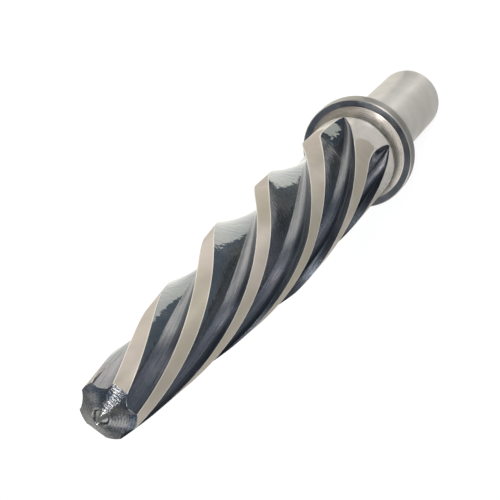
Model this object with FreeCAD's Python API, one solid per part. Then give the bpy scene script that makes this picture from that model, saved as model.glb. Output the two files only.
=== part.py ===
"""Bridge reamer with a straight driving shank, ground from one bar of high-speed steel.

The tool stands on the end of its shank: the origin is the centre of that end face and
+Z runs up the axis to the tip. All sizes are in millimetres and all angles in degrees.
Distances called "reach" are measured down the axis, from the rim of the tip to the shank.
"""
import FreeCAD, Part
import math
import os

# Shank
shank_diameter = 19.05
shank_length = 49.0
shank_chamfer_length = 2.0
shank_chamfer_depth = 1.0

# Two driving flats, ground into the shank a quarter turn apart
flat_count = 2
flat_depth = 0.9
flat_length = 15.0
flat_from_shank_end = 27.0
flat_bearing = 118.0
flat_spacing = 90.0

# Collar between the shank and the body
collar_diameter = 30.9
collar_thickness = 3.8
collar_edge_chamfer = 0.25
collar_ring_width = 1.95

# Body: a tapered lead from the tip, then a parallel length up to the collar
body_diameter = 24.2
body_length = 140.6
tip_diameter = 11.8
taper_length = 72.5
root_fillet_length = 5.0

# Tip: a cone, a ring groove and a small male centre
tip_cone_height = 2.7
tip_cone_top_diameter = 3.5
centre_groove_depth = 0.25
centre_base_diameter = 2.8
centre_height = 1.7
centre_point_diameter = 0.3
centre_flank_hollow = 0.15

# Teeth and flutes. The spiral is left-handed and the tool cuts right-handed.
tooth_count = 5
flute_lead = 159.3
rake_hook_angle = 5.0

# Width of the land on top of each tooth
land_width_tip = 3.25
land_width_lead = 3.45
land_width_taper_end = 3.5
land_width_runout = 5.6

# Reach of the station part-way up the tapered lead where the flute is measured
lead_station = 40.0

# Ridge between the flat back of a tooth and the round gullet: its depth below the
# cutting edge and its angle behind it
ridge_depth_tip = 0.3
ridge_depth_lead = 2.6
ridge_depth_taper_end = 4.7
ridge_depth_runout = 4.1
ridge_angle_tip = 32.5
ridge_angle_lead = 55.3
ridge_angle_taper_end = 59.7
ridge_angle_runout = 62.8

# Height of the flat rake face below the cutting edge, and the gullet's radius
rake_height_tip = 0.15
rake_height_lead = 0.3
rake_height_taper_end = 1.9
rake_height_runout = 1.9
gullet_radius_tip = 3.8
gullet_radius_lead = 5.0
gullet_radius_taper_end = 5.0
gullet_radius_runout = 4.2

# Least ratio of the gullet's radius to half its width, where the flute is wide
gullet_least_ratio = 1.02

# Run-out, where the grinding wheel leaves the flute in front of the collar. The wheel
# stops at a set distance from the collar, with its ridge lifted clear of the body.
runout_end_before_collar = 2.6
runout_wheel_radius = 44.0
runout_exit_height = 1.235
runout_ridge_angle = 69.0
runout_back_angle = 54.0

# How far the flute cutter stands clear of the steel that it removes
cutter_clearance = 0.8
stations_along_flute = 18
stations_in_runout = 8

# Sizes that follow from the ones above
collar_back_z = shank_length
collar_front_z = collar_back_z + collar_thickness
tip_rim_z = collar_front_z + body_length
body_radius = body_diameter / 2
tip_radius = tip_diameter / 2
tooth_pitch = 360.0 / tooth_count
runout_lift = ridge_depth_runout + runout_exit_height
runout_length = math.sqrt(runout_wheel_radius ** 2 - (runout_wheel_radius - runout_lift) ** 2)
runout_end = body_length - runout_end_before_collar
runout_start = runout_end - runout_length
cutter_radius = body_radius - ridge_depth_runout + runout_lift + cutter_clearance
cutter_start = -(tip_cone_height + centre_height)


def lathe_profile():
    """Half outline of the turned blank, from the shank end up to the tip."""
    shank_radius = shank_diameter / 2
    collar_radius = collar_diameter / 2
    ring_inner_radius = collar_radius - collar_ring_width
    cone_top_radius = tip_cone_top_diameter / 2
    centre_base_radius = centre_base_diameter / 2
    cone_top_z = tip_rim_z + tip_cone_height
    centre_base_z = cone_top_z - centre_groove_depth

    def at(radius, z):
        return FreeCAD.Vector(radius, 0, z)

    # The fillet leaves the body tangentially and reaches the collar at the ring's inner edge
    fillet_rise = ring_inner_radius - body_radius
    fillet_radius = (root_fillet_length ** 2 + fillet_rise ** 2) / (2 * fillet_rise)
    half_turn = math.asin(root_fillet_length / fillet_radius) / 2
    fillet_middle = at(
        body_radius + fillet_radius * (1 - math.cos(half_turn)),
        collar_front_z + root_fillet_length - fillet_radius * math.sin(half_turn),
    )

    # The flank of the male centre is ground a little hollow
    flank_base = at(centre_base_radius, centre_base_z)
    flank_point = at(centre_point_diameter / 2, centre_base_z + centre_height)
    across_flank = FreeCAD.Vector(-centre_height, 0, centre_point_diameter / 2 - centre_base_radius)
    across_flank.normalize()
    flank_middle = (flank_base + flank_point) / 2 + across_flank * centre_flank_hollow

    below = [
        at(0, 0),
        at(shank_radius - shank_chamfer_depth, 0),
        at(shank_radius, shank_chamfer_length),
        at(shank_radius, collar_back_z),
        at(collar_radius - collar_edge_chamfer, collar_back_z),
        at(collar_radius, collar_back_z + collar_edge_chamfer),
        at(collar_radius, collar_front_z - collar_edge_chamfer),
        at(collar_radius - collar_edge_chamfer, collar_front_z),
        at(ring_inner_radius, collar_front_z),
    ]
    above = [
        at(body_radius, collar_front_z + root_fillet_length),
        at(body_radius, tip_rim_z - taper_length),
        at(tip_radius, tip_rim_z),
        at(cone_top_radius, cone_top_z),
        flank_base,
    ]
    edges = [Part.LineSegment(a, b).toShape() for a, b in zip(below, below[1:])]
    edges.append(Part.Arc(below[-1], fillet_middle, above[0]).toShape())
    edges += [Part.LineSegment(a, b).toShape() for a, b in zip(above, above[1:])]
    edges.append(Part.Arc(flank_base, flank_middle, flank_point).toShape())
    point_centre = at(0, flank_point.z)
    edges.append(Part.LineSegment(flank_point, point_centre).toShape())
    edges.append(Part.LineSegment(point_centre, below[0]).toShape())
    return Part.Wire(edges)


def turned_blank():
    """The bar as it leaves the lathe, before any flute or flat is ground."""
    face = Part.Face(lathe_profile())
    return face.revolve(FreeCAD.Vector(0, 0, 0), FreeCAD.Vector(0, 0, 1), 360)


def outside_radius(reach):
    """Radius of the blank's body: it grows along the tapered lead, then stays."""
    share = min(max(reach / taper_length, 0.0), 1.0)
    return tip_radius + (body_radius - tip_radius) * share


def along_flute(reach, tip, lead, taper_end, runout):
    """A flute size that changes evenly between the four stations where it is given."""
    stations = [0.0, lead_station, taper_length, runout_start]
    sizes = [tip, lead, taper_end, runout]
    if reach <= 0:
        return tip
    for start, end, before, after in zip(stations, stations[1:], sizes, sizes[1:]):
        if reach <= end:
            return before + (after - before) * (reach - start) / (end - start)
    return runout


def flute_section(reach):
    """Closed outline of one flute across the axis, at this reach.

    It runs down the flat back of a tooth to the ridge, round the gullet and up the rake
    face of the next tooth, and closes on two lines outside the steel.
    """
    edge_radius = outside_radius(reach)
    land_width = along_flute(
        reach, land_width_tip, land_width_lead, land_width_taper_end, land_width_runout
    )
    ridge_radius = edge_radius - along_flute(
        reach, ridge_depth_tip, ridge_depth_lead, ridge_depth_taper_end, ridge_depth_runout
    )
    ridge_angle = along_flute(
        reach, ridge_angle_tip, ridge_angle_lead, ridge_angle_taper_end, ridge_angle_runout
    )
    rake_height = along_flute(
        reach, rake_height_tip, rake_height_lead, rake_height_taper_end, rake_height_runout
    )
    gullet_radius = along_flute(
        reach, gullet_radius_tip, gullet_radius_lead, gullet_radius_taper_end, gullet_radius_runout
    )
    turn = 360.0 * reach / flute_lead
    z = tip_rim_z - reach

    def at(radius, angle_behind_edge):
        angle = math.radians(turn - angle_behind_edge)
        return FreeCAD.Vector(radius * math.cos(angle), radius * math.sin(angle), z)

    # In the run-out the wheel lifts the whole gullet, and the ridge and back follow it round
    into_runout = max(reach - runout_start, 0.0)
    lift = runout_wheel_radius - math.sqrt(runout_wheel_radius ** 2 - into_runout ** 2)
    runout_share = into_runout / runout_length

    heel = at(edge_radius, math.degrees(land_width / edge_radius))
    ridge_turn = (runout_ridge_angle - ridge_angle) * runout_share ** 2
    ridge = at(ridge_radius + lift, ridge_angle + ridge_turn)

    # The back runs straight on past the heel, to a point outside the steel
    back = heel - at(ridge_radius, ridge_angle)
    foot = FreeCAD.Vector(ridge.x, ridge.y, 0)
    ahead = foot.x * back.x + foot.y * back.y
    span = back.x ** 2 + back.y ** 2
    gap = cutter_radius ** 2 - foot.x ** 2 - foot.y ** 2
    stretch = (-ahead + math.sqrt(ahead ** 2 + span * gap)) / span
    back_end = ridge + back * stretch
    back_angle = turn - math.degrees(math.atan2(back_end.y, back_end.x))
    back_angle = (back_angle + 180.0) % 360.0 - 180.0
    back_angle += (runout_back_angle - back_angle) * runout_share ** 2
    back_end = at(cutter_radius, back_angle)

    # The rake face leans under the next cutting edge by the hook angle
    hook = math.tan(math.radians(rake_hook_angle))
    outward = at(1.0, tooth_pitch) - at(0.0, tooth_pitch)
    sideways = at(1.0, tooth_pitch + 90.0) - at(0.0, tooth_pitch)
    edge = at(edge_radius, tooth_pitch)
    rake_foot = edge - outward * (rake_height - lift) + sideways * ((rake_height - lift) * hook)
    rise = max(cutter_radius - edge_radius, lift - rake_height + cutter_clearance)
    rake_end = edge + outward * rise - sideways * (rise * hook)

    # Gullet: a round curve of its own radius from the ridge to the foot of the rake face
    chord = rake_foot - ridge
    half_chord = chord.Length / 2
    radius = max(gullet_radius, half_chord * gullet_least_ratio)
    half_spread = math.asin(half_chord / radius)
    handle = radius * math.tan(half_spread / 2) * 4 / 3
    forward = chord * math.cos(half_spread) / chord.Length
    inward = FreeCAD.Vector(chord.y, -chord.x, 0) * math.sin(half_spread) / chord.Length
    gullet = Part.BezierCurve()
    gullet.setPoles([
        ridge,
        ridge + (forward + inward) * handle,
        rake_foot - (forward - inward) * handle,
        rake_foot,
    ])

    rake_end_angle = turn - math.degrees(math.atan2(rake_end.y, rake_end.x))
    rake_end_angle = (rake_end_angle + 360.0) % 360.0
    closing_radius = rake_end.sub(FreeCAD.Vector(0, 0, z)).Length
    closing_middle = at((cutter_radius + closing_radius) / 2, (back_angle + rake_end_angle) / 2)
    return Part.Wire([
        Part.LineSegment(back_end, ridge).toShape(),
        gullet.toShape(),
        Part.LineSegment(rake_foot, rake_end).toShape(),
        Part.LineSegment(rake_end, closing_middle).toShape(),
        Part.LineSegment(closing_middle, back_end).toShape(),
    ])


def flute_cutter():
    """Solid swept by the grinding wheel along one flute, from the tip to its run-out."""
    reaches = []
    for step in range(stations_along_flute):
        share = step / stations_along_flute
        reaches.append(cutter_start + (runout_start - cutter_start) * share)
    for step in range(stations_in_runout + 1):
        share = step / stations_in_runout
        reaches.append(runout_start + runout_length * share)
    return Part.makeLoft([flute_section(reach) for reach in reaches], True, False)


def driving_flat(bearing):
    """Block that grinds one flat on the shank, facing the given bearing."""
    width = shank_diameter
    block = Part.makeBox(width, width, flat_length)
    block.translate(
        FreeCAD.Vector(shank_diameter / 2 - flat_depth, -width / 2, flat_from_shank_end)
    )
    block.rotate(FreeCAD.Vector(0, 0, 0), FreeCAD.Vector(0, 0, 1), bearing)
    return block


def reamer():
    """The finished tool: the blank less its flutes and driving flats."""
    cutters = []
    first_flute = flute_cutter()
    for tooth in range(tooth_count):
        flute = first_flute.copy()
        flute.rotate(FreeCAD.Vector(0, 0, 0), FreeCAD.Vector(0, 0, 1), tooth * tooth_pitch)
        cutters.append(flute)
    for flat in range(flat_count):
        cutters.append(driving_flat(flat_bearing + flat * flat_spacing))
    return turned_blank().cut(cutters)


def main():
    os.makedirs("parts", exist_ok=True)
    solid = reamer().Solids[0]
    print("reamer", solid.ShapeType, solid.isValid(), round(solid.Volume, 1), len(solid.Faces))
    solid.exportStep("parts/reamer.step")


main()
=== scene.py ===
import math

import bmesh
import bpy
from mathutils import Matrix, Vector


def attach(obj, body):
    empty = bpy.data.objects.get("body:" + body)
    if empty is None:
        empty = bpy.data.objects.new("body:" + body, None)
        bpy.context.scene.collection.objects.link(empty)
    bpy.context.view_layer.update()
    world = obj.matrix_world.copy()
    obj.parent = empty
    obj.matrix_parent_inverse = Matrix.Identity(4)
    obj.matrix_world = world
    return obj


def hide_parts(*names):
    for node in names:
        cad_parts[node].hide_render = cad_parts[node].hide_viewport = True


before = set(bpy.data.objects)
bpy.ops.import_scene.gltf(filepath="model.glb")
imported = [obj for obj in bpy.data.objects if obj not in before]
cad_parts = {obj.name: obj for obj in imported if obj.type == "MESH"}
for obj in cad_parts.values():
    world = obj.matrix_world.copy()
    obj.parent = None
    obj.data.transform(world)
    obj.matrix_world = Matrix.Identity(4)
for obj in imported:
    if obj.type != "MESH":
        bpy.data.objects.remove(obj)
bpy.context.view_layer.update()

# Sizes in millimetres and degrees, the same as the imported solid's
MM = 0.001
SHANK_RADIUS = 9.525
SHANK_LENGTH = 49.0
SHANK_CHAMFER_LENGTH = 2.0
SHANK_CHAMFER_DEPTH = 1.0
FLAT_BEARINGS = (118.0, 208.0)
FLAT_FROM_AXIS = 8.625
FLAT_START = 27.0
FLAT_END = 42.0
COLLAR_RADIUS = 15.45
COLLAR_THICKNESS = 3.8
COLLAR_CHAMFER = 0.25
RING_INNER_RADIUS = 13.5
BODY_RADIUS = 12.1
BODY_LENGTH = 140.6
TIP_RADIUS = 5.9
TAPER_LENGTH = 72.5
FILLET_LENGTH = 5.0
CONE_HEIGHT = 2.7
CONE_TOP_RADIUS = 1.75
GROOVE_DEPTH = 0.25
CENTRE_BASE_RADIUS = 1.4
CENTRE_HEIGHT = 1.7
CENTRE_POINT_RADIUS = 0.15
CENTRE_FLANK_HOLLOW = 0.15
TEETH = 5
LEAD = 159.3
HOOK_ANGLE = 5.0
RUNOUT_START = 117.0
RUNOUT_END = 138.0
RUNOUT_WHEEL_RADIUS = 44.0
RUNOUT_RIDGE_ANGLE = 69.0
RUNOUT_BACK_ANGLE = 54.0
CUTTER_CLEARANCE = 0.8

# Flute sizes at the rim, part-way up the lead, at the end of the taper and at the run-out
STATIONS = (0.0, 40.0, TAPER_LENGTH, RUNOUT_START)
LAND_WIDTH = (3.25, 3.45, 3.5, 5.6)
RIDGE_DEPTH = (0.3, 2.6, 4.7, 4.1)
RIDGE_ANGLE = (32.5, 55.3, 59.7, 62.8)
RAKE_HEIGHT = (0.15, 0.3, 1.9, 1.9)
GULLET_RADIUS = (3.8, 5.0, 5.0, 4.2)

COLLAR_FRONT = SHANK_LENGTH + COLLAR_THICKNESS
RIM_HEIGHT = COLLAR_FRONT + BODY_LENGTH
PITCH = 360.0 / TEETH
FILLET_FOOT = COLLAR_FRONT + FILLET_LENGTH
FILLET_RISE = RING_INNER_RADIUS - BODY_RADIUS
FILLET_RADIUS = (FILLET_LENGTH ** 2 + FILLET_RISE ** 2) / (2 * FILLET_RISE)
CUTTER_RADIUS = (
    BODY_RADIUS - RIDGE_DEPTH[3] + CUTTER_CLEARANCE + RUNOUT_WHEEL_RADIUS
    - math.sqrt(RUNOUT_WHEEL_RADIUS ** 2 - (RUNOUT_END - RUNOUT_START) ** 2)
)

# Mesh rows across one tooth: along its land, down its back, round the gullet, up the rake
LAND_ROWS = 9
BACK_ROWS = 12
GULLET_ROWS = 12
RAKE_ROWS = 3
TOOTH_ROWS = LAND_ROWS + BACK_ROWS + GULLET_ROWS + RAKE_ROWS
HEEL_ROW = LAND_ROWS
RIDGE_ROW = HEEL_ROW + BACK_ROWS
FOOT_ROW = RIDGE_ROW + GULLET_ROWS

# Longest steps between rings along the tool
CONE_STEP = 0.2
TIP_APEX_STEP = 0.06
TOOTH_STEP = 0.9
RUNOUT_STEP = 0.3
NECK_APEX_STEP = 0.1
NECK_APEX_ZONE = 1.0
NECK_STEP = 0.35
FLAT_STEP = 2.0
SHANK_STEP = 3.0
CENTRE_STEPS = 8

# Fineness of the working-out: points tried along a gullet, halvings of a gap, a point far outside
# and how much wider than its chord a gullet's circle is at least
GULLET_SAMPLES = 48
HALVINGS = 24
BEYOND = 20
FULLEST_GULLET = 1.02

# The map that patterns follow: its height in millimetres is one unit
MAP_NAME = "tooth_map"
MAP_HEIGHT = 200.0
WELD_METRES = 2e-7
HAIR = 1e-6
CREASE_ANGLE = 20.0
ZONES = ("tip", "land", "flute", "neck", "ring", "rim", "shank")


def along_flute(reach, sizes):
    """A flute size at this distance from the rim, changing evenly between the stations."""
    if reach <= 0:
        return sizes[0]
    for start, end, before, after in zip(STATIONS, STATIONS[1:], sizes, sizes[1:]):
        if reach <= end:
            return before + (after - before) * (reach - start) / (end - start)
    return sizes[-1]


def tooth_radius(reach):
    """Radius of the cutting edges: it grows along the tapered lead, then stays."""
    share = min(max(reach / TAPER_LENGTH, 0.0), 1.0)
    return TIP_RADIUS + (BODY_RADIUS - TIP_RADIUS) * share


def blank_radius(reach):
    """Radius of the turned blank from the tip's cone to the foot of the fillet."""
    if reach < 0:
        return TIP_RADIUS + (TIP_RADIUS - CONE_TOP_RADIUS) * reach / CONE_HEIGHT
    into_fillet = reach - (BODY_LENGTH - FILLET_LENGTH)
    if into_fillet > 0:
        into_fillet = min(into_fillet, FILLET_LENGTH)
        return BODY_RADIUS + FILLET_RADIUS - math.sqrt(FILLET_RADIUS ** 2 - into_fillet ** 2)
    return tooth_radius(reach)


def polar(radius, behind):
    """Point at an angle behind the cutting edge, as a flat vector."""
    angle = math.radians(behind)
    return Vector((radius * math.cos(angle), -radius * math.sin(angle)))


def behind_edge(point):
    """Angle of a flat point behind the cutting edge."""
    return math.degrees(math.atan2(-point.y, point.x))


def where_line_leaves(inside, outside, radius):
    """Point where the line from a point inside the circle to one outside it crosses it."""
    step = outside - inside
    ahead = inside.dot(step)
    span = step.dot(step)
    gap = radius ** 2 - inside.dot(inside)
    return inside + step * ((-ahead + math.sqrt(ahead ** 2 + span * gap)) / span)


def flute_lines(reach):
    """The ground outline at this reach: back end, ridge, gullet curve, rake foot, rake end."""
    edge_radius = tooth_radius(reach)
    ridge_radius = edge_radius - along_flute(reach, RIDGE_DEPTH)
    ridge_angle = along_flute(reach, RIDGE_ANGLE)
    into_runout = min(max(reach - RUNOUT_START, 0.0), RUNOUT_END - RUNOUT_START)
    lift = RUNOUT_WHEEL_RADIUS - math.sqrt(RUNOUT_WHEEL_RADIUS ** 2 - into_runout ** 2)
    share = into_runout / (RUNOUT_END - RUNOUT_START)
    heel = polar(edge_radius, math.degrees(along_flute(reach, LAND_WIDTH) / edge_radius))
    ridge_turn = (RUNOUT_RIDGE_ANGLE - ridge_angle) * share ** 2
    ridge = polar(ridge_radius + lift, ridge_angle + ridge_turn)
    far = ridge + (heel - polar(ridge_radius, ridge_angle)) * BEYOND
    back_angle = behind_edge(where_line_leaves(ridge, far, CUTTER_RADIUS))
    back_angle += (RUNOUT_BACK_ANGLE - back_angle) * share ** 2
    back_end = polar(CUTTER_RADIUS, back_angle)

    hook = math.tan(math.radians(HOOK_ANGLE))
    outward = polar(1.0, PITCH)
    sideways = polar(1.0, PITCH + 90.0)
    edge = polar(edge_radius, PITCH)
    height = along_flute(reach, RAKE_HEIGHT) - lift
    foot = edge - outward * height + sideways * (height * hook)
    rise = max(CUTTER_RADIUS - edge_radius, CUTTER_CLEARANCE - height)
    rake_end = edge + outward * rise - sideways * (rise * hook)

    chord = foot - ridge
    radius = max(along_flute(reach, GULLET_RADIUS), chord.length / 2 * FULLEST_GULLET)
    half_spread = math.asin(chord.length / 2 / radius)
    handle = radius * math.tan(half_spread / 2) * 4 / 3
    forward = chord.normalized() * math.cos(half_spread)
    inward = Vector((chord.y, -chord.x)).normalized() * math.sin(half_spread)
    leave = ridge + (forward + inward) * handle
    arrive = foot - (forward - inward) * handle

    def gullet(share):
        rest = 1 - share
        return (
            ridge * rest ** 3 + leave * (3 * rest ** 2 * share)
            + arrive * (3 * rest * share ** 2) + foot * share ** 3
        )

    return back_end, ridge, gullet, foot, rake_end


def tooth_outline(reach):
    """Flat points of one tooth's rows at this reach, or None where nothing is ground away."""
    radius = blank_radius(reach)
    back_end, ridge, gullet, foot, rake_end = flute_lines(reach)
    shares = [n / GULLET_SAMPLES for n in range(GULLET_SAMPLES + 1)]
    inside = [share for share in shares if gullet(share).length < radius]
    if not inside:
        return None

    def gullet_crossing(within, beyond):
        for _ in range(HALVINGS):
            middle = (within + beyond) / 2
            if gullet(middle).length < radius:
                within = middle
            else:
                beyond = middle
        return within

    starts, ends = inside[0], inside[-1]
    if starts == 0.0:
        heel = where_line_leaves(ridge, back_end, radius)
    else:
        starts = gullet_crossing(starts, starts - 1 / GULLET_SAMPLES)
        heel = gullet(starts)
    if ends == 1.0:
        edge = where_line_leaves(foot, rake_end, radius)
    else:
        ends = gullet_crossing(ends, ends + 1 / GULLET_SAMPLES)
        edge = gullet(ends)
    first = gullet(starts)
    last = gullet(ends)
    heel_angle = behind_edge(heel)
    edge_angle = behind_edge(edge) - PITCH
    points = []
    for row in range(LAND_ROWS):
        points.append(polar(radius, edge_angle + (heel_angle - edge_angle) * row / LAND_ROWS))
    for row in range(BACK_ROWS):
        points.append(heel.lerp(first, row / BACK_ROWS))
    for row in range(GULLET_ROWS):
        points.append(gullet(starts + (ends - starts) * row / GULLET_ROWS))
    for row in range(RAKE_ROWS):
        points.append(last.lerp(edge, row / RAKE_ROWS))
    return points


def apex_reach(ground, plain):
    """Reach where a flute comes to its point, between one with a flute and one without."""
    for _ in range(HALVINGS):
        middle = (ground + plain) / 2
        if tooth_outline(middle):
            ground = middle
        else:
            plain = middle
    return ground


def spaced(start, end, most):
    """Reaches from start up to, not including, end, no further apart than most."""
    steps = math.ceil(abs(end - start) / most)
    return [start + (end - start) * n / steps for n in range(steps)]


TIP_APEX = apex_reach(0.0, -CONE_HEIGHT)
NECK_APEX = apex_reach(RUNOUT_START, RUNOUT_END)


def even_points(radius):
    """One tooth's rows spread evenly round a plain turned ring."""
    return [polar(radius, PITCH * row / TOOTH_ROWS) for row in range(TOOTH_ROWS)]


def plain_points(reach, apex, even_at):
    """Rows on the plain blank past a flute's point, easing from its last outline to even."""
    radius = blank_radius(reach)
    last = tooth_outline(apex)
    share = min(abs(reach - apex) / abs(even_at - apex), 1.0)
    points = []
    for ground, even in zip(last, even_points(radius)):
        angle = behind_edge(ground)
        points.append(polar(radius, angle + (behind_edge(even) - angle) * share))
    return points


def rings():
    """Every ring of the tool as (height, points of one tooth, zone), from tip to shank end."""
    cone_top = RIM_HEIGHT + CONE_HEIGHT
    base = cone_top - GROOVE_DEPTH
    profile = []
    spread = CENTRE_BASE_RADIUS - CENTRE_POINT_RADIUS
    flank = math.hypot(spread, CENTRE_HEIGHT)
    for step in range(CENTRE_STEPS):
        share = step / CENTRE_STEPS
        hollow = CENTRE_FLANK_HOLLOW * 4 * share * (1 - share)
        height = base + CENTRE_HEIGHT * (1 - share) - hollow * spread / flank
        radius = CENTRE_POINT_RADIUS + spread * share - hollow * CENTRE_HEIGHT / flank
        profile.append((height, even_points(radius), "tip"))
    profile.append((base, even_points(CENTRE_BASE_RADIUS), "tip"))
    for reach in spaced(-CONE_HEIGHT, TIP_APEX, CONE_STEP):
        profile.append((RIM_HEIGHT - reach, plain_points(reach, TIP_APEX, -CONE_HEIGHT), "tip"))
    for reach in spaced(TIP_APEX, 0.0, TIP_APEX_STEP):
        profile.append((RIM_HEIGHT - reach, tooth_outline(reach), "tip"))
    near_apex = NECK_APEX - NECK_APEX_ZONE
    reaches = spaced(0.0, TAPER_LENGTH, TOOTH_STEP) + spaced(TAPER_LENGTH, RUNOUT_START, TOOTH_STEP)
    reaches += spaced(RUNOUT_START, near_apex, RUNOUT_STEP) + spaced(near_apex, NECK_APEX, NECK_APEX_STEP)
    for reach in reaches:
        profile.append((RIM_HEIGHT - reach, tooth_outline(reach), "body"))
    profile.append((RIM_HEIGHT - NECK_APEX, tooth_outline(NECK_APEX), "neck"))
    for reach in spaced(NECK_APEX, BODY_LENGTH, NECK_STEP)[1:]:
        profile.append((RIM_HEIGHT - reach, plain_points(reach, NECK_APEX, BODY_LENGTH), "neck"))
    turned = [
        (COLLAR_FRONT, RING_INNER_RADIUS, "ring"),
        (COLLAR_FRONT, (RING_INNER_RADIUS + COLLAR_RADIUS) / 2, "ring"),
        (COLLAR_FRONT, COLLAR_RADIUS - COLLAR_CHAMFER, "rim"),
        (COLLAR_FRONT - COLLAR_CHAMFER, COLLAR_RADIUS, "rim"),
        (COLLAR_FRONT - COLLAR_THICKNESS / 2, COLLAR_RADIUS, "rim"),
        (SHANK_LENGTH + COLLAR_CHAMFER, COLLAR_RADIUS, "rim"),
        (SHANK_LENGTH, COLLAR_RADIUS - COLLAR_CHAMFER, "rim"),
        (SHANK_LENGTH, (COLLAR_RADIUS + SHANK_RADIUS) / 2, "rim"),
    ]
    for height, radius, zone in turned:
        profile.append((height, even_points(radius), zone))
    heights = spaced(SHANK_LENGTH, FLAT_END, FLAT_STEP) + [FLAT_END, FLAT_END]
    heights += spaced(FLAT_END, FLAT_START, FLAT_STEP)[1:] + [FLAT_START, FLAT_START]
    heights += spaced(FLAT_START, SHANK_CHAMFER_LENGTH, SHANK_STEP)[1:] + [SHANK_CHAMFER_LENGTH]
    for height in heights:
        profile.append((height, even_points(SHANK_RADIUS), "shank"))
    profile.append((0.0, even_points(SHANK_RADIUS - SHANK_CHAMFER_DEPTH), "shank"))
    return profile


def ground_flat(place):
    """A flat point of the shank, pushed back to the driving flats where it stands proud of them."""
    for bearing in FLAT_BEARINGS:
        outward = Vector((math.cos(math.radians(bearing)), math.sin(math.radians(bearing))))
        proud = place.dot(outward) - FLAT_FROM_AXIS
        if proud > 0:
            place = place - outward * proud
    return place


def build_reamer():
    """The whole tool as one mesh, extruded ring by ring from its tip to its shank, ends open."""
    profile = rings()
    flat_rings = [n for n, ring in enumerate(profile) if ring[2] == "shank"]
    first_cut = next(n for n in flat_rings if profile[n][0] == FLAT_END) + 1
    last_cut = [n for n in flat_rings if profile[n][0] == FLAT_START][0]
    form = bmesh.new()
    row_of = form.verts.layers.int.new("row")
    ring_of = form.verts.layers.int.new("ring")
    rows = TEETH * TOOTH_ROWS
    bmesh.ops.create_circle(form, segments=rows, radius=1.0)
    form.verts.ensure_lookup_table()
    for vert in form.verts:
        turn = -math.degrees(math.atan2(vert.co.y, vert.co.x)) % 360.0
        vert[row_of] = round(turn / 360.0 * rows) % rows
    edges = list(form.edges)
    for number, (height, points, _) in enumerate(profile):
        if number:
            grown = bmesh.ops.extrude_edge_only(form, edges=edges)["geom"]
            verts = {item for item in grown if isinstance(item, bmesh.types.BMVert)}
            edges = [
                item for item in grown
                if isinstance(item, bmesh.types.BMEdge) and set(item.verts) <= verts
            ]
        else:
            verts = set(form.verts)
        turn = 360.0 * (RIM_HEIGHT - height) / LEAD
        for vert in verts:
            tooth, row = divmod(vert[row_of], TOOTH_ROWS)
            place = Matrix.Rotation(math.radians(turn - tooth * PITCH), 2) @ points[row]
            if first_cut <= number <= last_cut:
                place = ground_flat(place)
            vert.co = Vector((place.x, place.y, height)) * MM
            vert[ring_of] = number
    return form, profile, row_of, ring_of


def finish_reamer(form, profile, row_of, ring_of):
    """Zones, creases, the pattern map and the end caps of the extruded tool."""
    pattern = form.loops.layers.uv.new(MAP_NAME)
    for face in form.faces:
        number = min(vert[ring_of] for vert in face.verts)
        row_numbers = [vert[row_of] for vert in face.verts]
        rows = TEETH * TOOTH_ROWS
        wraps = max(row_numbers) - min(row_numbers) > 1
        first = rows - 1 if wraps else min(row_numbers)
        row = first % TOOTH_ROWS
        zone = profile[number][2]
        if zone == "body":
            zone = "land" if row < HEEL_ROW else "flute"
        elif zone == "tip" and profile[number][0] < RIM_HEIGHT - TIP_APEX + HAIR and row >= HEEL_ROW:
            zone = "flute"
        face.material_index = ZONES.index(zone)
        face.smooth = True
        for loop in face.loops:
            own = loop.vert[row_of]
            if wraps and own == 0:
                own = rows
            height = profile[loop.vert[ring_of]][0]
            loop[pattern].uv = ((own - first + row) / TOOTH_ROWS, height / MAP_HEIGHT)
    bmesh.ops.remove_doubles(form, verts=form.verts, dist=WELD_METRES)
    ends = [edge for edge in form.edges if edge.is_boundary]
    caps = bmesh.ops.holes_fill(form, edges=ends, sides=0)["faces"]
    for cap in caps:
        high = cap.calc_center_median().z > RIM_HEIGHT * MM
        cap.material_index = ZONES.index("tip" if high else "shank")
    bmesh.ops.recalc_face_normals(form, faces=form.faces)
    for edge in form.edges:
        if len(edge.link_faces) == 2:
            one, two = edge.link_faces
            edge.smooth = edge.calc_face_angle(0.0) < math.radians(CREASE_ANGLE) and (
                one.material_index == two.material_index
                or "flute" not in (ZONES[one.material_index], ZONES[two.material_index])
            )


form, profile, row_of, ring_of = build_reamer()
finish_reamer(form, profile, row_of, ring_of)
reamer_mesh = bpy.data.meshes.new("reamer_ground")
form.to_mesh(reamer_mesh)
form.free()
reamer = bpy.data.objects.new("reamer_ground", reamer_mesh)
bpy.context.scene.collection.objects.link(reamer)


NOISE_DETAIL = 3.0
NOISE_FINENESS = 0.6
BLOTCH_SPAN = (0.35, 0.65)
QUARTER_TURN = 0.25


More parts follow.
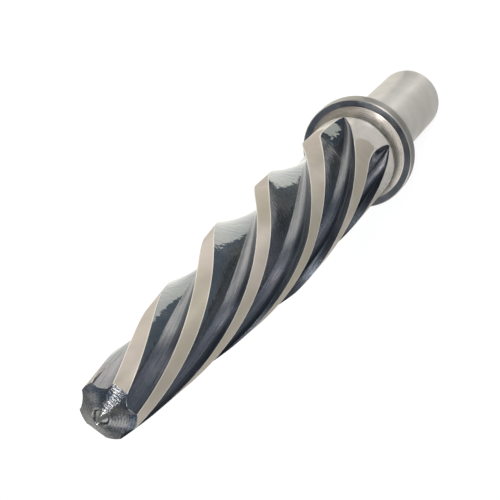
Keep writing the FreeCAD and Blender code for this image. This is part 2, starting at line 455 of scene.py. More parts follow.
class Sheet:
    """A material's or a group's node tree, with short ways to add and join its nodes."""

    def __init__(self, tree):
        self.nodes = tree.nodes
        self.links = tree.links

    def put(self, socket, value):
        """Give a socket a value, or join it to another node's output."""
        if isinstance(value, bpy.types.NodeSocket):
            self.links.new(value, socket)
        else:
            socket.default_value = value

    def node(self, kind, settings=None, **inputs):
        """Add a node with these settings, and feed the inputs that are named here."""
        made = self.nodes.new(kind)
        for name, value in (settings or {}).items():
            setattr(made, name, value)
        for name, value in inputs.items():
            self.put(made.inputs[name.replace("_", " ")], value)
        return made

    def math(self, operation, *values):
        """Result of an operation on one or two values."""
        made = self.node("ShaderNodeMath", {"operation": operation})
        for socket, value in zip(made.inputs, values):
            self.put(socket, value)
        return made.outputs[0]

    def add(self, one, two):
        return self.math("ADD", one, two)

    def less(self, one, two):
        return self.math("SUBTRACT", one, two)

    def times(self, one, two):
        return self.math("MULTIPLY", one, two)

    def parts(self, vector):
        """The X, Y and Z of a vector."""
        return self.node("ShaderNodeSeparateXYZ", Vector=vector).outputs

    def ramp(self, value, low, high, start=0.0, end=1.0, smooth=True):
        """Change from start to end as the value goes from low to high."""
        kind = "SMOOTHSTEP" if smooth else "LINEAR"
        made = self.node("ShaderNodeMapRange", {"interpolation_type": kind})
        for name, number in (("Value", value), ("From Min", low), ("From Max", high),
                             ("To Min", start), ("To Max", end)):
            self.put(made.inputs[name], number)
        return made.outputs["Result"]

    def mix(self, share, one, two):
        """Colour between two colours."""
        made = self.node("ShaderNodeMix", {"data_type": "RGBA"})
        for name, value in (("Factor", share), ("A", one), ("B", two)):
            self.put(made.inputs[name], value)
        return [socket for socket in made.outputs if socket.type == "RGBA"][0]

    def noise(self, vector, scale, detail, roughness):
        """Cloudy pattern around 0.5, with so many waves per unit."""
        made = self.node("ShaderNodeTexNoise", Vector=vector, Scale=scale,
                         Detail=detail, Roughness=roughness)
        return made.outputs["Fac"]

    def group(self, group, **inputs):
        """Outputs of a shared node group placed here."""
        return self.node("ShaderNodeGroup", {"node_tree": group}, **inputs).outputs

    def surface(self, shader):
        """Show this shader on the material's surface."""
        self.put(self.nodes["Material Output"].inputs["Surface"], shader.outputs[0])


def new_group(name, inputs, outputs):
    """An empty node group with these named sockets, and the sheet and ends to fill it with."""
    group = bpy.data.node_groups.new(name, "ShaderNodeTree")
    for label, kind in inputs:
        group.interface.new_socket(name=label, in_out="INPUT", socket_type=kind)
    for label, kind in outputs:
        group.interface.new_socket(name=label, in_out="OUTPUT", socket_type=kind)
    sheet = Sheet(group)
    given = sheet.nodes.new("NodeGroupInput").outputs
    wanted = sheet.nodes.new("NodeGroupOutput").inputs
    return group, sheet, given, wanted


def grinding_grain():
    """Fine marks over the tooth map: so many per tooth and so many per map height."""
    group, sheet, given, wanted = new_group(
        "grinding_grain",
        (("Map", "NodeSocketVector"), ("Per Tooth", "NodeSocketFloat"), ("Per Height", "NodeSocketFloat"),
         ("Fineness", "NodeSocketFloat")),
        (("Grain", "NodeSocketFloat"),),
    )
    spread = sheet.node("ShaderNodeCombineXYZ", X=given["Per Tooth"], Y=given["Per Height"], Z=1.0)
    scaled = sheet.node("ShaderNodeVectorMath", {"operation": "MULTIPLY"})
    sheet.put(scaled.inputs[0], given["Map"])
    sheet.put(scaled.inputs[1], spread.outputs["Vector"])
    grain = sheet.noise(scaled.outputs["Vector"], 1.0, NOISE_DETAIL, given["Fineness"])
    sheet.put(wanted["Grain"], grain)
    return group


def handling_blotches():
    """Soft uneven patches between two tones of one finish, as handling and oil leave."""
    group, sheet, given, wanted = new_group(
        "handling_blotches",
        (("Place", "NodeSocketVector"), ("Patches Per Metre", "NodeSocketFloat"),
         ("Dark Tone", "NodeSocketColor"), ("Light Tone", "NodeSocketColor")),
        (("Tone", "NodeSocketColor"), ("Patch", "NodeSocketFloat")),
    )
    cloud = sheet.noise(given["Place"], given["Patches Per Metre"], NOISE_DETAIL, NOISE_FINENESS)
    patch = sheet.ramp(cloud, *BLOTCH_SPAN)
    sheet.put(wanted["Tone"], sheet.mix(patch, given["Dark Tone"], given["Light Tone"]))
    sheet.put(wanted["Patch"], cloud)
    return group


def reach_to_side():
    """How far a place lies from the axis towards one side, in metres."""
    group, sheet, given, wanted = new_group(
        "reach_to_side",
        (("Place", "NodeSocketVector"), ("Side", "NodeSocketVector")),
        (("Reach", "NodeSocketFloat"),),
    )
    along = sheet.node("ShaderNodeVectorMath", {"operation": "DOT_PRODUCT"})
    sheet.put(along.inputs[0], given["Place"])
    sheet.put(along.inputs[1], given["Side"])
    sheet.put(wanted["Reach"], along.outputs["Value"])
    return group


GRAIN = grinding_grain()
BLOTCHES = handling_blotches()
SIDE_REACH = reach_to_side()


def new_material(name):
    material = bpy.data.materials.new(name)
    material.use_nodes = True
    sheet = Sheet(material.node_tree)
    shader = sheet.nodes["Principled BSDF"]
    return material, sheet, shader


def rgb(red, green, blue):
    """Linear colour from the 0 to 255 values that a picture editor shows."""
    def linear(value):
        value = value / 255.0
        return value / 12.92 if value <= 0.04045 else ((value + 0.055) / 1.055) ** 2.4
    return (linear(red), linear(green), linear(blue), 1.0)


def tooth_map(sheet):
    """The piece's own map, for marks that follow the teeth."""
    return sheet.node("ShaderNodeUVMap", {"uv_map": MAP_NAME}).outputs["UV"]


def across_tooth(sheet):
    """Place across a tooth: 0 at its cutting edge and 1 at the next tooth's."""
    return sheet.parts(tooth_map(sheet))["X"]


def height_of(sheet):
    """Height above the shank's end, in millimetres."""
    return sheet.times(sheet.parts(tooth_map(sheet))["Y"], MAP_HEIGHT)


def place_of(sheet):
    """Place in space, in metres."""
    return sheet.node("ShaderNodeTexCoord").outputs["Object"]


def grain_of(sheet, per_tooth, per_height, fineness):
    """Ground marks, so many per tooth and so many per map height."""
    marks = tooth_map(sheet)
    out = sheet.group(GRAIN, Map=marks, Per_Tooth=per_tooth, Per_Height=per_height, Fineness=fineness)
    return out["Grain"]


def blotched(sheet, patches, tones):
    """Uneven colour between a dark and a light tone, and the cloud that it follows."""
    out = sheet.group(BLOTCHES, Place=place_of(sheet), Patches_Per_Metre=patches,
                      Dark_Tone=tones[0], Light_Tone=tones[1])
    return out["Tone"], out["Patch"]


def on_side(sheet, bearing, shares):
    """From 0 to 1 where the surface faces this bearing, between two shares of the body's radius."""
    angle = math.radians(bearing)
    side = (math.cos(angle), math.sin(angle), 0.0)
    reach = sheet.group(SIDE_REACH, Place=place_of(sheet), Side=side)["Reach"]
    low, high = [share * BODY_RADIUS * MM for share in shares]
    return sheet.ramp(reach, low, high)


def bumped(sheet, shader, height, depth):
    """Let a height pattern, whose full range is this deep in millimetres, shape the surface."""
    bump = sheet.node("ShaderNodeBump", Strength=1.0, Distance=depth * MM, Height=height)
    sheet.put(shader.inputs["Normal"], bump.outputs["Normal"])


def turned_grain(sheet, shader, amount):
    """Spread the gloss along the axis, as scratches that run round the tool do."""
    tangent = sheet.node("ShaderNodeTangent", {"direction_type": "UV_MAP", "uv_map": MAP_NAME})
    sheet.put(shader.inputs["Tangent"], tangent.outputs["Tangent"])
    shader.inputs["Anisotropic"].default_value = amount
    shader.inputs["Anisotropic Rotation"].default_value = QUARTER_TURN


def crown(sheet, along, high):
    """Height of a shallow round bulge over a strip that runs from 0 to 1, flat outside it."""
    inside = sheet.math("MINIMUM", sheet.math("MAXIMUM", along, 0.0), 1.0)
    rest = sheet.less(1.0, inside)
    return sheet.times(sheet.times(inside, rest), 4.0 * high)


# Marks are given as marks per tooth, marks per map height and fineness, and clouds as waves per
# metre, detail and roughness. A span is the part of a pattern's range over which a change happens.
GRAIN_SPAN = (0.3, 0.7)

# Blued flutes, with heights and depths in millimetres
BACK_TONES = (rgb(133, 140, 144), rgb(150, 153, 153))
BACK_PATCHES = 110.0
BACK_LILAC = rgb(150, 146, 148)
LILAC_CLOUDS = (45.0, 2.0, 0.5)
LILAC_SPAN = (0.5, 0.7)
BACK_DARK_END = rgb(100, 104, 108)
DARK_END_HEIGHTS = (76.0, 70.0)
GULLET_TONES = (rgb(139, 141, 145), rgb(160, 156, 161))
GULLET_PATCHES = 90.0
GULLET_WORN = rgb(104, 108, 114)
WORN_SPAN = (0.5, 0.62)
WORN_SHARE = 0.55
# Painted dark reflection on the gullet's side below the rake face, weaker near the tip
GULLET_DARK_REFLECTION = rgb(66, 70, 76)
DARK_REFLECTION_WANDER = 0.3
DARK_REFLECTION_SPAN = (0.62, 1.0)
DARK_REFLECTION_FADE = 30.0
DARK_REFLECTION_AT_TIP = 0.3
# Painted shade on the rake faces
RAKE_PAINTED_SHADE = rgb(74, 78, 84)
RAKE_SHADE_FROM = (0.9, 0.93)
STREAK_SPAN = (0.35, 0.7)
BACK_ROUGHNESS = (0.02, 0.06)
GULLET_ROUGHNESS = (0.26, 0.36)
BACK_METAL = 0.91
GULLET_METAL = 0.97
RIDGE_BLEND = 0.06
TORN_MARKS = (6.0, 170.0, 0.5)
STREAKS = (60.0, 30.0, 0.6)
WIDE_STREAKS = (26.0, 9.0, 0.7)
TEAR_CLOUDS = (720.0, 0.8, 0.5)
MARKS_IN_TEARS = 0.35
TORN_DEPTH = 0.1
TORN_FADE = (70.0, 86.0)
TORN_AT_RUNOUT = 0.35
TEARS_IN_STREAKS = 0.4
STREAK_DEPTH = 0.04
BACK_CROWN = 0.45
GULLET_CROWN = 0.5
CROWN_FADE = (80.0, 45.0)
TIP_FADE = 40.0

# Painted reflection on one tooth's back at its run-out, on one side of the tool, with a torn edge
RUNOUT_REFLECTION_TONE = rgb(163, 165, 155)
RUNOUT_REFLECTION_BEARING = 30.0
RUNOUT_REFLECTION_REACH = (0.55, 0.65)
RUNOUT_REFLECTION_TOP = 61.5
RUNOUT_REFLECTION_TOP_BLUR = 1.0
RUNOUT_REFLECTION_FOOT = 69.4
RUNOUT_REFLECTION_FOOT_BLUR = 0.6
RUNOUT_REFLECTION_ACROSS = (0.66, 0.58)
RUNOUT_REFLECTION_ROUGHNESS = 0.35
RUNOUT_REFLECTION_METAL = 0.5
RAGGED = 7.0
RAGGED_ACROSS = 0.1


def painted_runout_reflection(sheet, height, down_back, tears):
    """Painted reflection on one tooth's back at its run-out, on one side only, torn where the blued flute
    begins.
    """
    on_tooth = on_side(sheet, RUNOUT_REFLECTION_BEARING, RUNOUT_REFLECTION_REACH)
    ragged = sheet.times(sheet.less(tears, 0.5), RAGGED)
    torn_height = sheet.add(height, ragged)
    below = sheet.ramp(torn_height, RUNOUT_REFLECTION_FOOT + RUNOUT_REFLECTION_FOOT_BLUR, RUNOUT_REFLECTION_FOOT - RUNOUT_REFLECTION_FOOT_BLUR)
    above = sheet.ramp(torn_height, RUNOUT_REFLECTION_TOP - RUNOUT_REFLECTION_TOP_BLUR, RUNOUT_REFLECTION_TOP + RUNOUT_REFLECTION_TOP_BLUR)
    beside = sheet.ramp(sheet.add(down_back, sheet.times(ragged, RAGGED_ACROSS)), *RUNOUT_REFLECTION_ACROSS)
    return sheet.times(sheet.times(below, above), sheet.times(beside, on_tooth))


def back_colour(sheet, height):
    """Tooth backs: blued and a little blotched, lilac in places, darker where they run out."""
    back, _ = blotched(sheet, BACK_PATCHES, BACK_TONES)
    lilac = sheet.noise(place_of(sheet), *LILAC_CLOUDS)
    back = sheet.mix(sheet.ramp(lilac, *LILAC_SPAN), back, BACK_LILAC)
    return sheet.mix(sheet.ramp(height, *DARK_END_HEIGHTS), back, BACK_DARK_END)


def gullet_colour(sheet, height, round_gullet, wide_streak):
    """Gullets: paler, worn along their streaks, and with a painted dark reflection on the side below the
    rake face.
    """
    floor, _ = blotched(sheet, GULLET_PATCHES, GULLET_TONES)
    worn = sheet.times(sheet.ramp(wide_streak, *WORN_SPAN), WORN_SHARE)
    floor = sheet.mix(worn, floor, GULLET_WORN)
    edge_of_dark = sheet.add(round_gullet, sheet.times(wide_streak, DARK_REFLECTION_WANDER))
    near_tip = sheet.ramp(height, RIM_HEIGHT - DARK_REFLECTION_FADE, RIM_HEIGHT, 1.0, DARK_REFLECTION_AT_TIP)
    dark_reflection = sheet.times(sheet.ramp(edge_of_dark, *DARK_REFLECTION_SPAN), near_tip)
    return sheet.mix(dark_reflection, floor, GULLET_DARK_REFLECTION)


def flute_crowns(sheet, height, down_back, round_gullet):
    """Bulge of the backs on the tapered lead and of the gullets, in millimetres."""
    on_lead = sheet.ramp(height, RIM_HEIGHT - CROWN_FADE[0], RIM_HEIGHT - CROWN_FADE[1])
    from_tip = sheet.ramp(height, RIM_HEIGHT - TIP_FADE, RIM_HEIGHT, 1.0, 0.0, smooth=False)
    back = sheet.times(sheet.times(crown(sheet, down_back, BACK_CROWN), on_lead), from_tip)
    return sheet.add(back, crown(sheet, round_gullet, GULLET_CROWN))


def blued_flute():
    """Flutes ground and blued: glossy torn backs, satin gullets with streaks and a painted dark reflection,
    rake faces in painted shade, and a painted reflection on one run-out.
    """
    material, sheet, shader = new_material("blued_flute")
    across = across_tooth(sheet)
    height = height_of(sheet)
    marks = grain_of(sheet, *TORN_MARKS)
    streak = grain_of(sheet, *STREAKS)
    wide_streak = grain_of(sheet, *WIDE_STREAKS)
    tears = sheet.noise(place_of(sheet), *TEAR_CLOUDS)
    down_back = sheet.ramp(across, HEEL_ROW / TOOTH_ROWS, RIDGE_ROW / TOOTH_ROWS, smooth=False)
    round_gullet = sheet.ramp(across, RIDGE_ROW / TOOTH_ROWS, FOOT_ROW / TOOTH_ROWS, smooth=False)
    in_gullet = sheet.ramp(round_gullet, 0.0, RIDGE_BLEND)
    on_back = sheet.less(1.0, in_gullet)
    # Mask of the painted reflection on one run-out: lighter, rougher and less metallic there
    runout_reflection = painted_runout_reflection(sheet, height, down_back, tears)

    gullet = gullet_colour(sheet, height, round_gullet, wide_streak)
    colour = sheet.mix(in_gullet, back_colour(sheet, height), gullet)
    # Painted shade: the rake faces are darkened
    colour = sheet.mix(sheet.ramp(across, *RAKE_SHADE_FROM), colour, RAKE_PAINTED_SHADE)
    sheet.put(shader.inputs["Base Color"], sheet.mix(runout_reflection, colour, RUNOUT_REFLECTION_TONE))

    gloss = sheet.ramp(streak, *STREAK_SPAN, *BACK_ROUGHNESS)
    satin = sheet.ramp(streak, *STREAK_SPAN, *GULLET_ROUGHNESS)
    rough = sheet.add(sheet.times(gloss, on_back), sheet.times(satin, in_gullet))
    sheet.put(shader.inputs["Roughness"], sheet.ramp(runout_reflection, 0.0, 1.0, rough, RUNOUT_REFLECTION_ROUGHNESS))
    metal = sheet.ramp(in_gullet, 0.0, 1.0, BACK_METAL, GULLET_METAL)
    sheet.put(shader.inputs["Metallic"], sheet.ramp(runout_reflection, 0.0, 1.0, metal, RUNOUT_REFLECTION_METAL))

    torn = sheet.times(sheet.add(tears, sheet.times(marks, MARKS_IN_TEARS)), TORN_DEPTH)
    torn = sheet.times(torn, sheet.ramp(height, *TORN_FADE, TORN_AT_RUNOUT, 1.0))
    streaked = sheet.times(sheet.add(streak, sheet.times(tears, TEARS_IN_STREAKS)), STREAK_DEPTH)
    relief = sheet.add(sheet.times(torn, on_back), sheet.times(streaked, in_gullet))
    bumped(sheet, shader, sheet.add(relief, flute_crowns(sheet, height, down_back, round_gullet)), 1.0)
    return material


# Lands and neck: the lands end on a bowed line, this far from the rim at their cutting edges
LAND_TONES = (rgb(160, 150, 138), rgb(180, 169, 159))
LAND_PATCHES = 60.0
LAND_MARKS = (30.0, 900.0, 0.6)
LAND_OLIVE = rgb(154, 147, 128)
OLIVE_CLOUDS = (28.0, 2.0, 0.5)
OLIVE_SPAN = (0.46, 0.6)
OLIVE_SHARE = 0.65
# Painted highlight along both edges of each land, where its bevel catches the light
EDGE_HIGHLIGHT_TONE = rgb(220, 215, 206)
EDGE_HIGHLIGHT_FADE = (0.07, 0.03)
EDGE_HIGHLIGHT_SHARE = 0.7
NECK_TONES = (rgb(216, 207, 194), rgb(228, 220, 209))
LAND_ROUGHNESS = (0.48, 0.56)
NECK_ROUGHNESS = 0.22
LAND_METAL = 0.55
LAND_SPREAD = 0.7
LAND_END_REACH = 121.5
LAND_END_RISE = 13.5
LAND_END_BOW = 8.5
LAND_END_BLUR = 0.25
FINE_MARK_DEPTH = 0.004


def bright_steel():
    """Satin ground lands with painted highlights along their edges, changing at a bowed line to the polished
    neck.
    """
    material, sheet, shader = new_material("ground_land_and_neck")
    over = sheet.math("MINIMUM", sheet.times(across_tooth(sheet), TOOTH_ROWS / HEEL_ROW), 1.0)
    bow = sheet.less(sheet.times(over, LAND_END_RISE), sheet.times(sheet.times(over, over), LAND_END_BOW))
    line = sheet.less(RIM_HEIGHT - LAND_END_REACH, bow)
    polished = sheet.ramp(sheet.less(line, height_of(sheet)), -LAND_END_BLUR, LAND_END_BLUR)
    grain = grain_of(sheet, *LAND_MARKS)

    land, _ = blotched(sheet, LAND_PATCHES, LAND_TONES)
    olive = sheet.noise(place_of(sheet), *OLIVE_CLOUDS)
    land = sheet.mix(sheet.ramp(olive, *OLIVE_SPAN, 0.0, OLIVE_SHARE), land, LAND_OLIVE)
    # Painted highlight along both land edges
    wide, narrow = EDGE_HIGHLIGHT_FADE
    edge_highlight = sheet.math("MAXIMUM", sheet.ramp(over, wide, narrow), sheet.ramp(over, 1 - wide, 1 - narrow))
    land = sheet.mix(sheet.times(edge_highlight, EDGE_HIGHLIGHT_SHARE), land, EDGE_HIGHLIGHT_TONE)
    neck, _ = blotched(sheet, LAND_PATCHES, NECK_TONES)
    sheet.put(shader.inputs["Base Color"], sheet.mix(polished, land, neck))
    rough = sheet.ramp(grain, *GRAIN_SPAN, *LAND_ROUGHNESS)
    sheet.put(shader.inputs["Roughness"], sheet.ramp(polished, 0.0, 1.0, rough, NECK_ROUGHNESS))
    shader.inputs["Metallic"].default_value = LAND_METAL
    turned_grain(sheet, shader, LAND_SPREAD)
    bumped(sheet, shader, grain, FINE_MARK_DEPTH)
    return material


# Fillet in front of the collar: a painted highlight on one side, and near its foot a band that is partly
# tarnish, partly painted dark reflection
FILLET_SCRATCHES = (2.0, 1100.0, 0.7)
FILLET_PATCHES = 120.0
FILLET_TONES = (rgb(128, 119, 108), rgb(152, 143, 132))
# Band near the fillet's foot: partly tarnish and partly painted dark reflection
TARNISH_AND_REFLECTION_PATCHES = 70.0
TARNISH_AND_REFLECTION_TONES = (rgb(130, 123, 110), rgb(160, 152, 140))
# Painted highlight: the fillet is lighter on the side towards this bearing
FILLET_HIGHLIGHT_TONE = rgb(214, 204, 193)
HIGHLIGHT_BEARING = -58.0
HIGHLIGHT_REACH = (0.1, 0.85)
TARNISH_AND_REFLECTION_START = (4.6, 1.2)
TARNISH_AND_REFLECTION_END = (1.2, 1.0)
TARNISH_AND_REFLECTION_WANDER = 6.0
FILLET_ROUGHNESS = (0.24, 0.32)
FILLET_METAL = 0.6
TARNISH_AND_REFLECTION_METAL = 0.8
FILLET_SPREAD = 0.8
FILLET_MARK_DEPTH = 0.04


def polished_fillet():
    """Fillet in front of the collar: polished, with a painted highlight on one side, and where it leaves the
    neck a band of tarnish and painted dark reflection.
    """
    material, sheet, shader = new_material("polished_fillet")
    scratches = grain_of(sheet, *FILLET_SCRATCHES)
    fillet_tone, patch = blotched(sheet, FILLET_PATCHES, FILLET_TONES)
    tarnish_and_reflection, _ = blotched(sheet, TARNISH_AND_REFLECTION_PATCHES, TARNISH_AND_REFLECTION_TONES)
    # Painted highlight on one side of the fillet
    with_highlight = sheet.mix(on_side(sheet, HIGHLIGHT_BEARING, HIGHLIGHT_REACH), fillet_tone, FILLET_HIGHLIGHT_TONE)
    # Band of tarnish and painted dark reflection near the fillet's foot
    foot = sheet.add(height_of(sheet), sheet.times(sheet.less(patch, 0.5), TARNISH_AND_REFLECTION_WANDER))
    starts = sheet.ramp(foot, FILLET_FOOT - TARNISH_AND_REFLECTION_START[0], FILLET_FOOT - TARNISH_AND_REFLECTION_START[1])
    ends = sheet.ramp(foot, FILLET_FOOT + TARNISH_AND_REFLECTION_END[0], FILLET_FOOT - TARNISH_AND_REFLECTION_END[1])
    band = sheet.times(starts, ends)
    sheet.put(shader.inputs["Base Color"], sheet.mix(band, with_highlight, tarnish_and_reflection))
    sheet.put(shader.inputs["Roughness"], sheet.ramp(scratches, *GRAIN_SPAN, *FILLET_ROUGHNESS))
    sheet.put(shader.inputs["Metallic"], sheet.ramp(band, 0.0, 1.0, FILLET_METAL, TARNISH_AND_REFLECTION_METAL))
    turned_grain(sheet, shader, FILLET_SPREAD)
    bumped(sheet, shader, sheet.add(scratches, patch), FILLET_MARK_DEPTH)
    return material


# Tip cone: turned rough and blued, smoother on its male centre
TIP_PATCHES = 300.0
TIP_TONES = (rgb(50, 56, 64), rgb(92, 91, 91))
# Painted highlight: lighter round the male centre and in its groove
GROOVE_HIGHLIGHT_TONE = rgb(136, 135, 130)
GROOVE_HIGHLIGHT_FADE = (0.3, 0.9)
GROOVE_HIGHLIGHT_SHARE = 0.4
TURNING_FEED = 0.42
WANDER_CLOUDS = (350.0, 3.0, 0.6)
WANDER_PHASE = 10.0
RINGS_SHARE = 0.13
PIT_CLOUDS = (1500.0, 3.0, 0.6)
TIP_ROUGHNESS = 0.22
TIP_MARK_DEPTH = 0.11
CENTRE_MARK_SHARE = 0.15
CENTRE_MARK_FADE = 0.2


def turned_tip():
    """Tip cone: rings round the axis, pits that glint where they face the lamp, and a painted highlight
    round the male centre.
    """
    material, sheet, shader = new_material("turned_tip")
    place = place_of(sheet)
    parts = sheet.parts(place)
    square = sheet.add(sheet.times(parts["X"], parts["X"]), sheet.times(parts["Y"], parts["Y"]))
    away = sheet.math("SQRT", square)
    wander = sheet.noise(place, *WANDER_CLOUDS)
    turns = sheet.times(away, 2.0 * math.pi / (TURNING_FEED * MM))
    rings_cut = sheet.math("SINE", sheet.add(turns, sheet.times(wander, WANDER_PHASE)))
    pits = sheet.noise(place, *PIT_CLOUDS)
    tone, _ = blotched(sheet, TIP_PATCHES, TIP_TONES)
    near, far = [(CENTRE_BASE_RADIUS + fade) * MM for fade in GROOVE_HIGHLIGHT_FADE]
    # Painted highlight round the male centre
    groove_highlight = sheet.ramp(away, near, far, GROOVE_HIGHLIGHT_SHARE, 0.0)
    sheet.put(shader.inputs["Base Color"], sheet.mix(groove_highlight, tone, GROOVE_HIGHLIGHT_TONE))
    shader.inputs["Metallic"].default_value = 1.0
    shader.inputs["Roughness"].default_value = TIP_ROUGHNESS
    relief = sheet.add(sheet.times(rings_cut, RINGS_SHARE), pits)
    outside = (CENTRE_BASE_RADIUS + CENTRE_MARK_FADE) * MM
    past_centre = sheet.ramp(away, CENTRE_BASE_RADIUS * MM, outside, CENTRE_MARK_SHARE, 1.0)
    bumped(sheet, shader, sheet.times(relief, past_centre), TIP_MARK_DEPTH)
    return material


# Collar and shank
RING_TONES = (rgb(60, 65, 73), rgb(102, 105, 110))
RIM_TONES = (rgb(150, 146, 137), rgb(168, 164, 156))
SHANK_TONES = (rgb(184, 178, 169), rgb(196, 191, 183))
TURNED_MARKS = (3.0, 1400.0, 0.6)
TURNED_PATCHES = 70.0
RINGED_SPAN = (0.4, 0.65)
RINGED_SHARE = 0.25
SMOOTHER = 0.03
ROUGHER = 0.05


def turned_steel(name, tones, roughness, metallic, spread):
    """Turned or cylindrically ground steel, with fine rings round the axis."""
    material, sheet, shader = new_material(name)
    grain = grain_of(sheet, *TURNED_MARKS)
    tone, _ = blotched(sheet, TURNED_PATCHES, tones)
    ringed = sheet.times(sheet.ramp(grain, *RINGED_SPAN), RINGED_SHARE)
    sheet.put(shader.inputs["Base Color"], sheet.mix(ringed, tone, tones[0]))
    rough = sheet.ramp(grain, *GRAIN_SPAN, roughness - SMOOTHER, roughness + ROUGHER)
    sheet.put(shader.inputs["Roughness"], rough)
    shader.inputs["Metallic"].default_value = metallic
    turned_grain(sheet, shader, spread)
    bumped(sheet, shader, grain, FINE_MARK_DEPTH)
    return material


zone_materials = {
    "tip": turned_tip(),
    "land": bright_steel(),
    "flute": blued_flute(),
    "neck": polished_fillet(),
    "ring": turned_steel("blued_ring", RING_TONES, roughness=0.3, metallic=1.0, spread=0.5),
    "rim": turned_steel("collar_rim", RIM_TONES, roughness=0.39, metallic=0.8, spread=0.9),
    "shank": turned_steel("ground_shank", SHANK_TONES, roughness=0.42, metallic=0.5, spread=0.9),
}
for zone in ZONES:
    reamer.data.materials.append(zone_materials[zone])

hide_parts("reamer")
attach(reamer, "root")

# Studio, in metres and degrees
WHITE = (1.0, 1.0, 1.0, 1.0)
PAPER_GREY = (0.85, 0.85, 0.85, 1.0)
PAPER_GLOW = (1.0, 0.98, 0.89, 1.0)
PAPER_WHITENESS = 0.75
PAPER_HALF_SIZE = 4.0
# The card glows with these tones instead of being lit: a painted dark reflection, paler further out and on
# one side
CARD_TONES = (rgb(88, 99, 114), rgb(126, 136, 148))
CARD_DARK_WITHIN = (0.1, 0.3)
CARD_FAR_SHARE = 0.9
CARD_PALE_SIDE = (math.radians(-40.0), math.radians(20.0))
CARD_PALE_SHARE = 0.5
CARD_START = 27.0
CARD_TURN = -209.0
CARD_HOLE = 0.0005
CARD_REACH = 0.8
CARD_LIFT = 0.0003
CARD_STEPS = 40
LAMPS_AIM = Vector((0.0, 0.0, 0.1))
ROOM_TONE = (0.95, 0.98, 1.0, 1.0)
ROOM_STRENGTH = 0.8


def staged(name, form, material):
    """A piece of the studio: it isn't part of the tool."""
    mesh = bpy.data.meshes.new(name)
    form.to_mesh(mesh)
    form.free()
    piece = bpy.data.objects.new(name, mesh)
    bpy.context.scene.collection.objects.link(piece)
    piece.data.materials.append(material)
    return piece


def paper_floor():
    """White paper. Eyes and reflections see it as white, with the tool's shadow kept faint."""
    material, sheet, shader = new_material("white_paper")
    sheet.nodes.remove(shader)
    paper = sheet.node("ShaderNodeBsdfDiffuse", Color=PAPER_GREY)
    path = sheet.node("ShaderNodeLightPath").outputs
    glow = sheet.mix(path["Is Camera Ray"], PAPER_GLOW, WHITE)
    white = sheet.node("ShaderNodeEmission", Color=glow, Strength=1.0)
    faint = sheet.node("ShaderNodeMixShader", Fac=PAPER_WHITENESS)
    sheet.put(faint.inputs[1], paper.outputs[0])
    sheet.put(faint.inputs[2], white.outputs[0])
    seen = sheet.math("MAXIMUM", path["Is Camera Ray"], path["Is Glossy Ray"])
    choose = sheet.node("ShaderNodeMixShader", Fac=seen)
    sheet.put(choose.inputs[1], paper.outputs[0])
    sheet.put(choose.inputs[2], faint.outputs[0])
    sheet.surface(choose)
    form = bmesh.new()
    bmesh.ops.create_grid(form, x_segments=1, y_segments=1, size=PAPER_HALF_SIZE)
    return staged("floor", form, material)


def dark_card():
    """Dark card laid on the floor on one side, which only reflections see: it glows with its own tones, a
    painted dark reflection.
    """
    material, sheet, shader = new_material("dark_card")
    sheet.nodes.remove(shader)
    place = place_of(sheet)
    parts = sheet.parts(place)
    away = sheet.node("ShaderNodeVectorMath", {"operation": "LENGTH"})
    sheet.put(away.inputs[0], place)
    bearing = sheet.math("ARCTAN2", parts["Y"], parts["X"])
    far_out = sheet.ramp(away.outputs["Value"], *CARD_DARK_WITHIN, smooth=False)
    pale_side = sheet.ramp(bearing, *CARD_PALE_SIDE)
    pale = sheet.times(pale_side, CARD_PALE_SHARE)
    tone = sheet.mix(sheet.math("MAXIMUM", sheet.times(far_out, CARD_FAR_SHARE), pale), *CARD_TONES)
    sheet.surface(sheet.node("ShaderNodeEmission", Color=tone, Strength=1.0))
    form = bmesh.new()
    lift = Vector((0.0, 0.0, CARD_LIFT))
    inner = form.verts.new(polar(CARD_HOLE, -CARD_START).to_3d() + lift)
    outer = form.verts.new(polar(CARD_REACH, -CARD_START).to_3d() + lift)
    edge = form.edges.new((inner, outer))
    bmesh.ops.spin(form, geom=[inner, outer, edge], cent=(0, 0, 0), axis=(0, 0, 1),
                   angle=math.radians(CARD_TURN), steps=CARD_STEPS)
    card = staged("dark_card", form, material)
    card.visible_camera = False
    card.visible_shadow = False
    card.visible_diffuse = False
    return card


def softbox(name, azimuth, elevation, distance, width, height, radiance):
    """Oblong lamp at this bearing round the tool, facing it, with the glow that its face has."""
    data = bpy.data.lights.new(name, "AREA")
    data.shape = "RECTANGLE"
    data.size = width
    data.size_y = height
    data.energy = radiance * math.pi * width * height
    lamp = bpy.data.objects.new(name, data)
    bpy.context.scene.collection.objects.link(lamp)
    bearing = math.radians(azimuth)
    rise = math.radians(elevation)
    away = Vector((math.cos(rise) * math.cos(bearing), math.cos(rise) * math.sin(bearing), math.sin(rise)))
    lamp.location = LAMPS_AIM + away * distance
    lamp.rotation_euler = away.to_track_quat("Z", "Y").to_euler()
    lamp.visible_camera = False
    return lamp


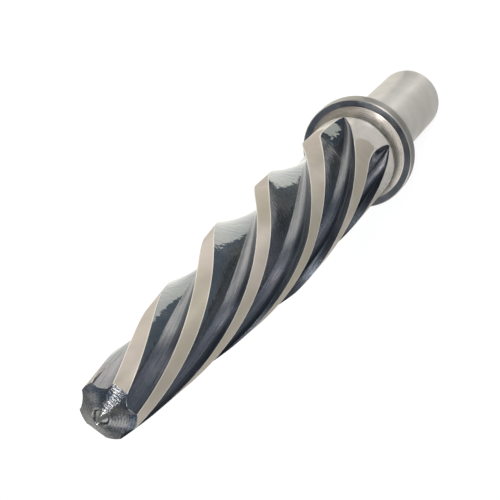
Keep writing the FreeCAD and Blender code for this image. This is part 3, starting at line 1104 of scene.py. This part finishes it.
paper_floor()
dark_card()
softbox("softbox_over_camera", -4.0, 63.0, distance=0.9, width=0.22, height=0.11, radiance=62.0)
softbox("softbox_strip", -2.0, 44.0, distance=0.9, width=0.06, height=0.4, radiance=20.0)
softbox("softbox_left", 80.0, 30.0, distance=1.2, width=1.0, height=1.0, radiance=1.3)
softbox("softbox_right", -135.0, 28.0, distance=1.2, width=1.0, height=1.0, radiance=2.5)
softbox("softbox_low", -12.0, -4.9, distance=0.5, width=0.08, height=0.1, radiance=14.0)

# Soft room light, with a plain white backdrop where the camera looks past the tool
world = bpy.data.worlds.new("studio")
bpy.context.scene.world = world
world.use_nodes = True
studio = Sheet(world.node_tree)
room = studio.nodes["Background"]
studio.put(room.inputs["Color"], ROOM_TONE)
studio.put(room.inputs["Strength"], ROOM_STRENGTH)
backdrop = studio.node("ShaderNodeBackground", Color=WHITE, Strength=1.0)
looked_at = studio.node("ShaderNodeLightPath").outputs["Is Camera Ray"]
either = studio.node("ShaderNodeMixShader", Fac=looked_at)
studio.put(either.inputs[1], room.outputs["Background"])
studio.put(either.inputs[2], backdrop.outputs["Background"])
studio.put(studio.nodes["World Output"].inputs["Surface"], either.outputs["Shader"])

# Camera at the photograph's viewing angle: its place in metres, and its right, down and forward
CAMERA_PLACE = Vector((0.13596, -0.06849, 0.35730))
CAMERA_RIGHT = Vector((0.19525, -0.90203, -0.38498))
CAMERA_DOWN = Vector((-0.85282, -0.35001, 0.38756))
CAMERA_AHEAD = Vector((-0.48433, 0.25264, -0.83761))
CAMERA_LENS = 89.48
CAMERA_SENSOR = 36.0
CAMERA_NEAR = 0.01
camera_data = bpy.data.cameras.new("camera")
camera_data.lens = CAMERA_LENS
camera_data.sensor_width = CAMERA_SENSOR
camera_data.clip_start = CAMERA_NEAR
camera = bpy.data.objects.new("camera", camera_data)
bpy.context.scene.collection.objects.link(camera)
turned_to = Matrix((CAMERA_RIGHT, -CAMERA_DOWN, -CAMERA_AHEAD)).transposed().to_4x4()
camera.matrix_world = Matrix.Translation(CAMERA_PLACE) @ turned_to
bpy.context.scene.camera = camera
bpy.context.scene.view_settings.view_transform = "Standard"
